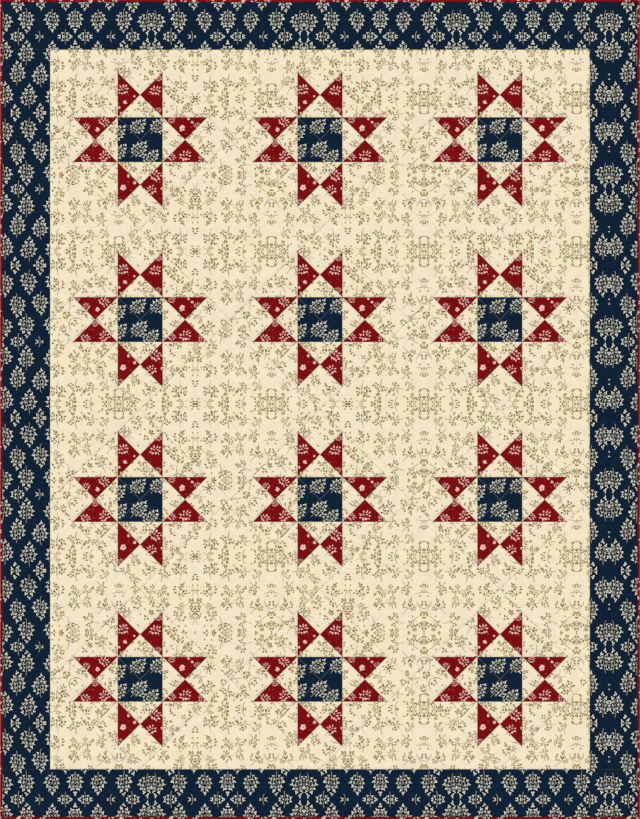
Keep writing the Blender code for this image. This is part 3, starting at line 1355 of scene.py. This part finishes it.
@dataclass
class StarBlocks(QuiltPart):
    """The twelve star blocks, all pieced and cut alike."""

    padding: PaddingTree
    cut_step: float = 0.0371
    cut_slope: float = 1.618

    def block_patches(self) -> list[tuple[Outline, Cloth]]:
        """Cut the block into its patches, in its own frame.

        Returns:
            The outline and cloth of each patch.
        """
        count = self.plan.patches_a_side
        middle, last = count // 2, count - 1
        size = (self.plan.block - self.plan.gap) / count
        found: list[tuple[Outline, Cloth]] = []
        for row, column in ((row, column) for row in range(count) for column in range(count)):
            a, b = (column - middle) * size, (row - middle) * size
            square = ((a, b), (a + size, b), (a + size, b + size), (a, b + size))
            if column in (0, last) and row in (0, last):
                found.append((square, Cloth.CREAM))
                continue
            inner = 0 < column < last and 0 < row < last
            same_side = (column >= middle) == (row >= middle)
            halves = {1: (0, 1, 2), 3: (0, 2, 3)} if same_side != inner else {0: (0, 1, 3), 2: (1, 2, 3)}
            for corner, half in halves.items():
                outline = tuple(square[index] for index in half)
                found.append((outline, self.half_cloth(square[corner], size, inner)))
        return found

    def half_cloth(self, corner: Place, size: float, inner: bool) -> Cloth:
        """Choose the cloth of a half-square triangle.

        Args:
            corner: The triangle's square corner.
            size: The side of a patch.
            inner: Whether it is in the block's middle.

        Returns:
            The cloth.
        """
        a, b = abs(corner[0]), abs(corner[1])
        if inner:
            return Cloth.CENTRE if max(a, b) < 0.5 * size else Cloth.CREAM
        return Cloth.POINTS if max(abs(a - size), abs(b - size)) < 0.5 * size else Cloth.CREAM

    def placing(self, index: int, cloth: Cloth, centre: Place) -> ClothPlacing:
        """Say how one of the block's patches was cut from its cloth.

        Args:
            index: The patch's number.
            cloth: Its cloth.
            centre: The block's middle.

        Returns:
            The placing.
        """
        if cloth in (Cloth.CENTRE, Cloth.POINTS):
            return ClothPlacing(centre)
        shift = self.cut_step * (index + 1)
        return ClothPlacing((centre[0] - shift, centre[1] - self.cut_slope * shift), math.pi / 4.0)

    def outlines(self, centre: Place) -> list[tuple[Outline, Cloth]]:
        """Set the block's patches on point.

        Args:
            centre: The block's middle.

        Returns:
            The outline and cloth of each patch.
        """
        x, y = centre
        return [
            (tuple((x + (a - b) * SLANT, y + (a + b) * SLANT) for a, b in outline), cloth)
            for outline, cloth in self.block_patches()
        ]

    def build(self) -> None:
        """Build and dress all the star blocks."""
        for row, column, centre in self.plan.centres(self.plan.columns, self.plan.rows):
            node = f"star_block_{row}_{column}"
            piece = PaddedPiece(f"pieced_{node}", self.relief)
            for index, (outline, cloth) in enumerate(self.outlines(centre)):
                piece.add_patch(Patch(outline, cloth, self.placing(index, cloth, centre)))
            settle(piece.make(self.padding, self.finishes), node)


@dataclass
class SettingPieces(QuiltPart):
    """The plain cream squares between the stars, and the triangles that fill the field out."""

    padding: PaddingTree
    cloth_origin: Place = (0.24935, 0.0132)

    def outlines(self) -> dict[str, Outline]:
        """Lay out each plain piece on its seam lines.

        Returns:
            The outlines by node name.
        """
        plan = self.plan
        half = plan.pitch / 2.0
        edge_x, edge_y = plan.half_field
        found: dict[str, Outline] = {}
        for row, column, (x, y) in plan.centres(plan.columns - 1, plan.rows - 1):
            square = ((x, y - half), (x + half, y), (x, y + half), (x - half, y))
            found[f"setting_square_{row}_{column}"] = square
        for column in range(plan.columns - 1):
            x = plan.off_middle(column, plan.columns - 1)
            for side, up in (("top", 1.0), ("bottom", -1.0)):
                ends = ((x + up * half, up * edge_y), (x - up * half, up * edge_y))
                found[f"side_triangle_{side}_{column + 1}"] = ((x, up * (edge_y - half)), *ends)
        for row in range(plan.rows - 1):
            y = plan.off_middle(row, plan.rows - 1)
            for side, out in (("left", -1.0), ("right", 1.0)):
                ends = ((out * edge_x, y - out * half), (out * edge_x, y + out * half))
                found[f"side_triangle_{side}_{row + 1}"] = ((out * (edge_x - half), y), *ends)
        corners = {
            "bottom_left": (-1.0, -1.0), "bottom_right": (1.0, -1.0),
            "top_right": (1.0, 1.0), "top_left": (-1.0, 1.0),
        }
        for name, (out, up) in corners.items():
            ends = ((out * (edge_x - half), up * edge_y), (out * edge_x, up * (edge_y - half)))
            ends = ends if out == up else ends[::-1]
            found[f"corner_triangle_{name}"] = ((out * edge_x, up * edge_y), *ends)
        return found

    def build(self) -> None:
        """Build and dress all the plain pieces."""
        placing = ClothPlacing(self.cloth_origin)
        for node, seam_outline in self.outlines().items():
            outline = inset(seam_outline, self.plan.gap / 2.0)
            piece = PaddedPiece(f"plain_{node}", self.relief)
            piece.add_patch(Patch(outline, Cloth.CREAM, placing))
            made = piece.make(self.padding, self.finishes)
            if len(outline) == 4:
                settle(made, node)
            else:
                settle(made, node)


@dataclass
class Borders(QuiltPart):
    """The four navy border strips."""

    padding: PaddingTree
    cloth_origin: Place = (-0.0384, -0.0204)

    def build(self) -> None:
        """Build and dress the strips."""
        edge_x, edge_y = self.plan.half_field
        outer_x, outer_y = self.plan.half_inner
        spans = {
            "border_left": (-outer_x, -edge_x, -edge_y, edge_y),
            "border_right": (edge_x, outer_x, -edge_y, edge_y),
            "border_bottom": (-outer_x, outer_x, -outer_y, -edge_y),
            "border_top": (-outer_x, outer_x, edge_y, outer_y),
        }
        for node, (x_low, x_high, y_low, y_high) in spans.items():
            outline = ((x_low, y_low), (x_high, y_low), (x_high, y_high), (x_low, y_high))
            patch = Patch(inset(outline, self.plan.gap / 2.0), Cloth.NAVY, ClothPlacing(self.cloth_origin))
            piece = PaddedPiece(f"printed_{node}", self.relief)
            piece.add_strip(patch)
            settle(piece.make(self.padding, self.finishes), node)


@dataclass
class Binding(QuiltPart):
    """The rolled red binding, in four strips with mitred ends."""

    crest: float = 0.0034
    foot: float = 0.0009
    foot_curve: Place = (0.25, 0.35)
    roll_steps: int = 8
    length_step: float = 0.01
    edge_wave: float = 0.00012
    edge_wave_length: float = 0.018
    edge_wave_level: float = 4.4
    turned_under: float = 0.0042
    sharp_angle: float = math.radians(60.0)

    def section(self) -> list[Place]:
        """Draw the section of the binding, round from its inner foot.

        Returns:
            Pairs of outward reach and height.
        """
        inner, width, foot = self.plan.gap / 2.0, self.plan.binding_width, self.foot
        half_reach = (width - inner) / 2.0
        curve = (width - self.foot_curve[0] * foot, self.foot_curve[1] * foot)
        found = [(inner, 0.0), (0.5 * width, 0.0), (width - foot, 0.0), curve]
        for step in range(self.roll_steps + 1):
            turn = 0.5 * math.pi * step / self.roll_steps
            reach = width - half_reach * (1.0 - math.cos(turn))
            found.append((reach, foot + (self.crest - foot) * math.sin(turn)))
        back_steps = self.roll_steps // 2
        for share in (step / back_steps for step in range(1, back_steps + 1)):
            height = self.relief.seam + (self.crest - self.relief.seam) * (1.0 - share**2)
            found.append((width - half_reach - half_reach * share, height))
        return found

    def strip(self, name: str, start: Place, end: Place, outward: Place, cut: Place) -> bpy.types.Object:
        """Build one side of the binding.

        Args:
            name: The piece's name.
            start: The border's corner where the strip starts.
            end: The border's corner where it ends.
            outward: The direction out of the quilt.
            cut: Where on the cloth the strip was cut.

        Returns:
            The finished strip.
        """
        length = math.dist(start, end)
        along = ((end[0] - start[0]) / length, (end[1] - start[1]) / length)
        section = self.section()
        girths = [0.0, *accumulate(math.dist(*pair) for pair in zip(section, section[1:]))]
        mitre_gap = self.plan.gap * SLANT
        steps = round(length / self.length_step)
        points, places = [], []
        for step in range(steps + 1):
            for (reach, height), girth in zip(section, girths):
                low = -(reach - mitre_gap)
                slide = low + (length + reach - mitre_gap - low) * step / steps
                x, y = (start[axis] + outward[axis] * reach + along[axis] * slide for axis in (0, 1))
                if height > self.relief.seam:
                    on_wave = (x / self.edge_wave_length, y / self.edge_wave_length)
                    height += noise.noise((*on_wave, self.edge_wave_level)) * self.edge_wave
                points.append((x, y, height))
                places.append((slide + cut[0], girth + cut[1]))
        count = len(section)
        rings = [range(count * step, count * (step + 1)) for step in range(steps + 1)]
        faces = [
            (a, c, d, b)
            for low, high in zip(rings, rings[1:])
            for (a, b), (c, d) in zip(sides(low), sides(high))
        ]
        faces += [tuple(rings[0]), tuple(reversed(rings[-1]))]
        corner_places = [places[index] for corners in faces for index in corners]
        from_seam = [max(0.0, reach - self.plan.gap) for reach, _ in section] * (steps + 1)
        mesh = cloth_mesh(name, points, faces, corner_places, from_seam)
        mesh.materials.append(self.finishes[Cloth.RED])
        made = stand(mesh)
        mesh.set_sharp_from_angle(angle=self.sharp_angle)
        return made

    def build(self) -> None:
        """Build and dress the four strips."""
        x, y = self.plan.half_inner
        strips = {
            "binding_bottom": ((-x, -y), (x, -y), (0.0, -1.0), (0.021, 0.034)),
            "binding_right": ((x, -y), (x, y), (1.0, 0.0), (0.047, 0.067)),
            "binding_top": ((x, y), (-x, y), (0.0, 1.0), (0.093, 0.034)),
            "binding_left": ((-x, y), (-x, -y), (-1.0, 0.0), (0.011, 0.067)),
        }
        for node, (start, end, outward, cut) in strips.items():
            made = self.strip(f"rolled_{node}", start, end, outward, cut)
            settle(made, node)


class StitchTree(ShapeTree):
    """Lays stitches along seam lines, a pitch apart."""

    NAME = "ditch_stitches"
    SIZES = Stitch
    FINISHES = ("thread",)

    def lay(self, given: object) -> Socket:
        """Add the nodes: seam lines to points a pitch apart, and a stitch on each.

        Args:
            given: The tree's inputs.

        Returns:
            The finished geometry.
        """
        lines = self.put("GeometryNodeMeshToCurve", {"Mesh": given["base"]})
        feeds = {"Curve": lines.outputs[0], "Length": given["pitch"]}
        spaced = self.put("GeometryNodeResampleCurve", feeds, mode="LENGTH")
        feeds = {"Curve": spaced.outputs[0]}
        marks = self.put("GeometryNodeCurveToPoints", feeds, mode="EVALUATED").outputs
        facing = self.put("FunctionNodeAlignRotationToVector", {"Vector": marks["Tangent"]}, axis="Z")
        bead = self.put("GeometryNodeMeshUVSphere", {"Segments": 4, "Rings": 3, "Radius": 0.5})
        laid = self.put("GeometryNodeInstanceOnPoints", {
            "Points": marks["Points"],
            "Instance": bead.outputs["Mesh"],
            "Rotation": facing.outputs["Rotation"],
            "Scale": self.joined(given["thickness"], given["width"], given["length"]),
        })
        real = self.put("GeometryNodeRealizeInstances", {0: laid.outputs[0]})
        feeds = {"Geometry": real.outputs[0], "Material": given["thread"]}
        return self.put("GeometryNodeSetMaterial", feeds).outputs[0]


@dataclass
class DitchStitches:
    """The quilting in the ditches: one line of stitches along each seam of the star blocks, and one round
    the field.
    """

    plan: QuiltPlan
    relief: Relief
    blocks: StarBlocks
    thread: bpy.types.Material
    stitch: Stitch = Stitch()
    lift: float = 0.0001
    same_place: float = 0.002
    drawn: set[tuple[tuple[int, int], tuple[int, int]]] = field(default_factory=set)

    def lines_of(self, outlines: list[Outline]) -> list[tuple[Place, Place]]:
        """List the sides of some outlines, each once, leaving out those already drawn.

        Args:
            outlines: The outlines.

        Returns:
            The two ends of each line.
        """
        found = []
        for line in (side for outline in outlines for side in sides(outline)):
            ends = sorted((round(x / self.same_place), round(y / self.same_place)) for x, y in line)
            if tuple(ends) not in self.drawn:
                self.drawn.add(tuple(ends))
                found.append(line)
        return found

    def make(self, name: str, lines: list[tuple[Place, Place]], tree: StitchTree) -> None:
        """Lay stitches along seam lines and turn them into one plain mesh piece.

        Args:
            name: The piece's name.
            lines: The seam lines.
            tree: The stitch tree.
        """
        height = self.relief.seam + self.lift
        points = [(x, y, height) for line in lines for x, y in line]
        edges = [(2 * index, 2 * index + 1) for index in range(len(lines))]
        lines_mesh = bpy.data.meshes.new(f"{name}_lines")
        lines_mesh.from_pydata(points, edges, [])
        made = tree.piece(name, lines_mesh, self.stitch, {"thread": self.thread})
        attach(made, ROOT_BODY)
        LOG.info("%s: %d faces", name, len(made.data.polygons))

    def build(self) -> None:
        """Stitch the star blocks row by row, and then the seams round the field."""
        tree = StitchTree()
        centres = self.plan.centres(self.plan.columns, self.plan.rows)
        for row in range(1, self.plan.rows + 1):
            blocks = [self.blocks.outlines(centre) for block_row, _, centre in centres if block_row == row]
            lines = self.lines_of([outline for block in blocks for outline, _ in block])
            self.make(f"ditch_stitches_row_{row}", lines, tree)
        x, y = self.plan.half_field
        self.make("ditch_stitches_border", self.lines_of([((-x, -y), (x, -y), (x, y), (-x, y))]), tree)


@dataclass
class Studio:
    """The pale floor, the soft even light and the camera straight above."""

    plan: QuiltPlan
    lens: float = 120.0
    sensor: float = 36.0
    frame_shape: float = 640.0 / 819.0
    floor_half: float = 30.0
    floor_level: float = -0.0004
    sky_strength: float = 0.62
    key_from: tuple[float, float, float] = (-0.75, 0.95, 1.35)
    key_strength: float = 1.35
    key_softness: float = 0.35

    def floor(self) -> None:
        """Lay the pale floor under the quilt."""
        half = self.floor_half
        corners = [(x * half, y * half, self.floor_level) for x, y in ((-1, -1), (1, -1), (1, 1), (-1, 1))]
        mesh = bpy.data.meshes.new("studio_floor")
        mesh.from_pydata(corners, [], [(0, 1, 2, 3)])
        mesh.materials.append(FloorPaper().material)
        floor = bpy.data.objects.new("studio_floor", mesh)
        bpy.context.collection.objects.link(floor)

    def light(self) -> None:
        """Add an even white surrounding and one broad soft key light from the upper left."""
        world = bpy.data.worlds.new("studio_surround")
        world.use_nodes = True
        background = world.node_tree.nodes["Background"]
        background.inputs["Color"].default_value = (1.0, 1.0, 1.0, 1.0)
        background.inputs["Strength"].default_value = self.sky_strength
        bpy.context.scene.world = world
        key = bpy.data.lights.new("key", "SUN")
        key.energy = self.key_strength
        key.angle = self.key_softness
        lamp = bpy.data.objects.new("key", key)
        lamp.rotation_euler = Vector(self.key_from).to_track_quat("Z", "Y").to_euler()
        bpy.context.collection.objects.link(lamp)

    def camera(self) -> None:
        """Set the camera straight above, so that the quilt fills the picture from edge to edge."""
        width = 2.0 * (self.plan.half_inner[0] + self.plan.binding_width)
        camera = bpy.data.cameras.new("camera")
        camera.lens = self.lens
        camera.sensor_width = self.sensor
        made = bpy.data.objects.new("camera", camera)
        made.location = (0.0, 0.0, width / self.frame_shape * self.lens / self.sensor)
        bpy.context.collection.objects.link(made)
        bpy.context.scene.camera = made

    def build(self) -> None:
        """Build the whole studio."""
        self.floor()
        self.light()
        self.camera()
        bpy.context.scene.view_settings.view_transform = "Standard"
        bpy.context.scene.view_settings.look = "None"


def main() -> None:
    """Build the quilt, piece by piece, and the studio round it."""
    logging.basicConfig(level=logging.INFO, format="%(name)s %(message)s")
    plan, relief = QuiltPlan(), Relief()
    finishes = {
        Cloth.CREAM: CreamPrint().material,
        Cloth.RED: RedPrint().material,
        Cloth.NAVY: NavyPrint().material,
        Cloth.CENTRE: StarCentrePrint().material,
        Cloth.BACKING: BackingCotton().material,
        Cloth.POINTS: StarPointPrint().material,
    }
    padding = PaddingTree()
    blocks = StarBlocks(plan, relief, finishes, padding)
    blocks.build()
    SettingPieces(plan, relief, finishes, padding).build()
    Borders(plan, relief, finishes, padding).build()
    Binding(plan, relief, finishes).build()
    DitchStitches(plan, relief, blocks, DitchThread().material).build()
    Studio(plan).build()


if __name__ == "__main__":
    main()
